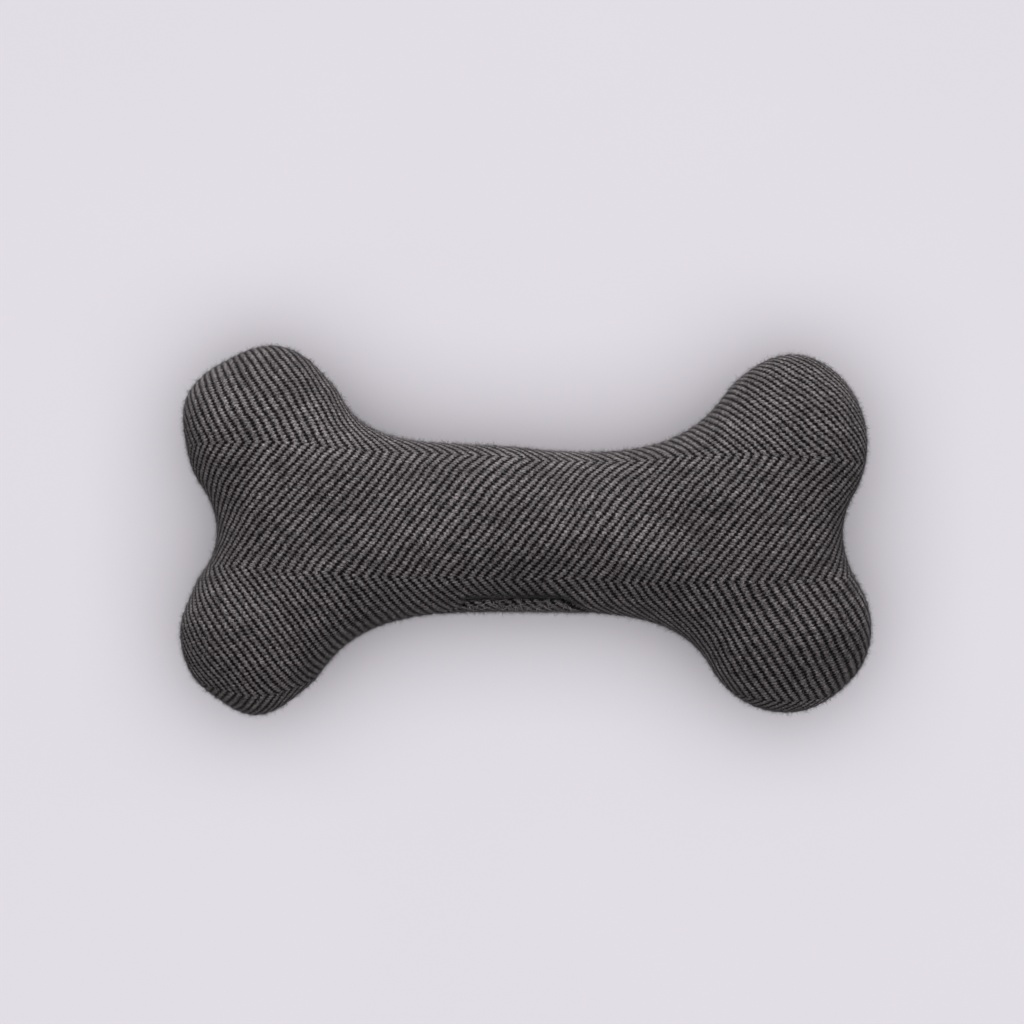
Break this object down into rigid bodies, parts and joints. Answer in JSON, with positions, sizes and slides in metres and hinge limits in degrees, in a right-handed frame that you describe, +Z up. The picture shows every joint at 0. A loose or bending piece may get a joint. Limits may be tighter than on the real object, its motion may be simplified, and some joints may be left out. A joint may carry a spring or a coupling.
{
  "type": "stuffed dog toy",
  "caption": "Bone-shaped stuffed dog toy: two sewn tweed panels round fibre filling, with a squeaker inside that gives when the bone is pressed.",
  "frame": {"origin": "middle of the underside of the toy's box, on the surface it lies on", "axes": "+X along the bone, +Y across it towards the top of the picture, +Z up out of the front panel"},
  "size_m": [0.2094, 0.111, 0.0476],
  "materials": {
    "tweed": "dark grey and black wool herringbone twill, soft and slightly hairy, no shine",
    "sewing_thread": "charcoal spun polyester sewing thread",
    "fibre": "off-white loose polyester fibre",
    "bulb_plastic": "soft translucent off-white blow-moulded plastic",
    "plug_plastic": "hard white moulded plastic",
    "reed_film": "thin springy film"
  },
  "bodies": {
    "toy": {"front_panel": "tweed", "back_panel": "tweed", "seam_thread": "sewing_thread", "closing_thread": "sewing_thread", "knob_wad_left_upper": "fibre", "knob_wad_left_lower": "fibre", "knob_wad_right_upper": "fibre", "knob_wad_right_lower": "fibre", "shaft_wad_front": "fibre", "shaft_wad_back": "fibre", "squeaker_bulb": "bulb_plastic"},
    "reed_plug": {"reed_barrel": "plug_plastic", "reed_wedge": "plug_plastic"},
    "reed": {"reed_tongue": "reed_film"}
  },
  "joints": [
    {"name": "bulb_squeeze", "type": "slide", "parent": "toy", "child": "reed_plug", "axis": [0, 0, -1], "range_m": [0, 0.005], "stiffness_N_per_m": 1500, "deforming": ["squeaker_bulb"]},
    {"name": "reed_flex", "type": "hinge", "parent": "reed_plug", "child": "reed", "pos_m": [0.00071, -0.00013, 0.03397], "axis": [0, 1, 0], "range_deg": [-3, 5], "stiffness_Nm_per_rad": 0.001}
  ]
}
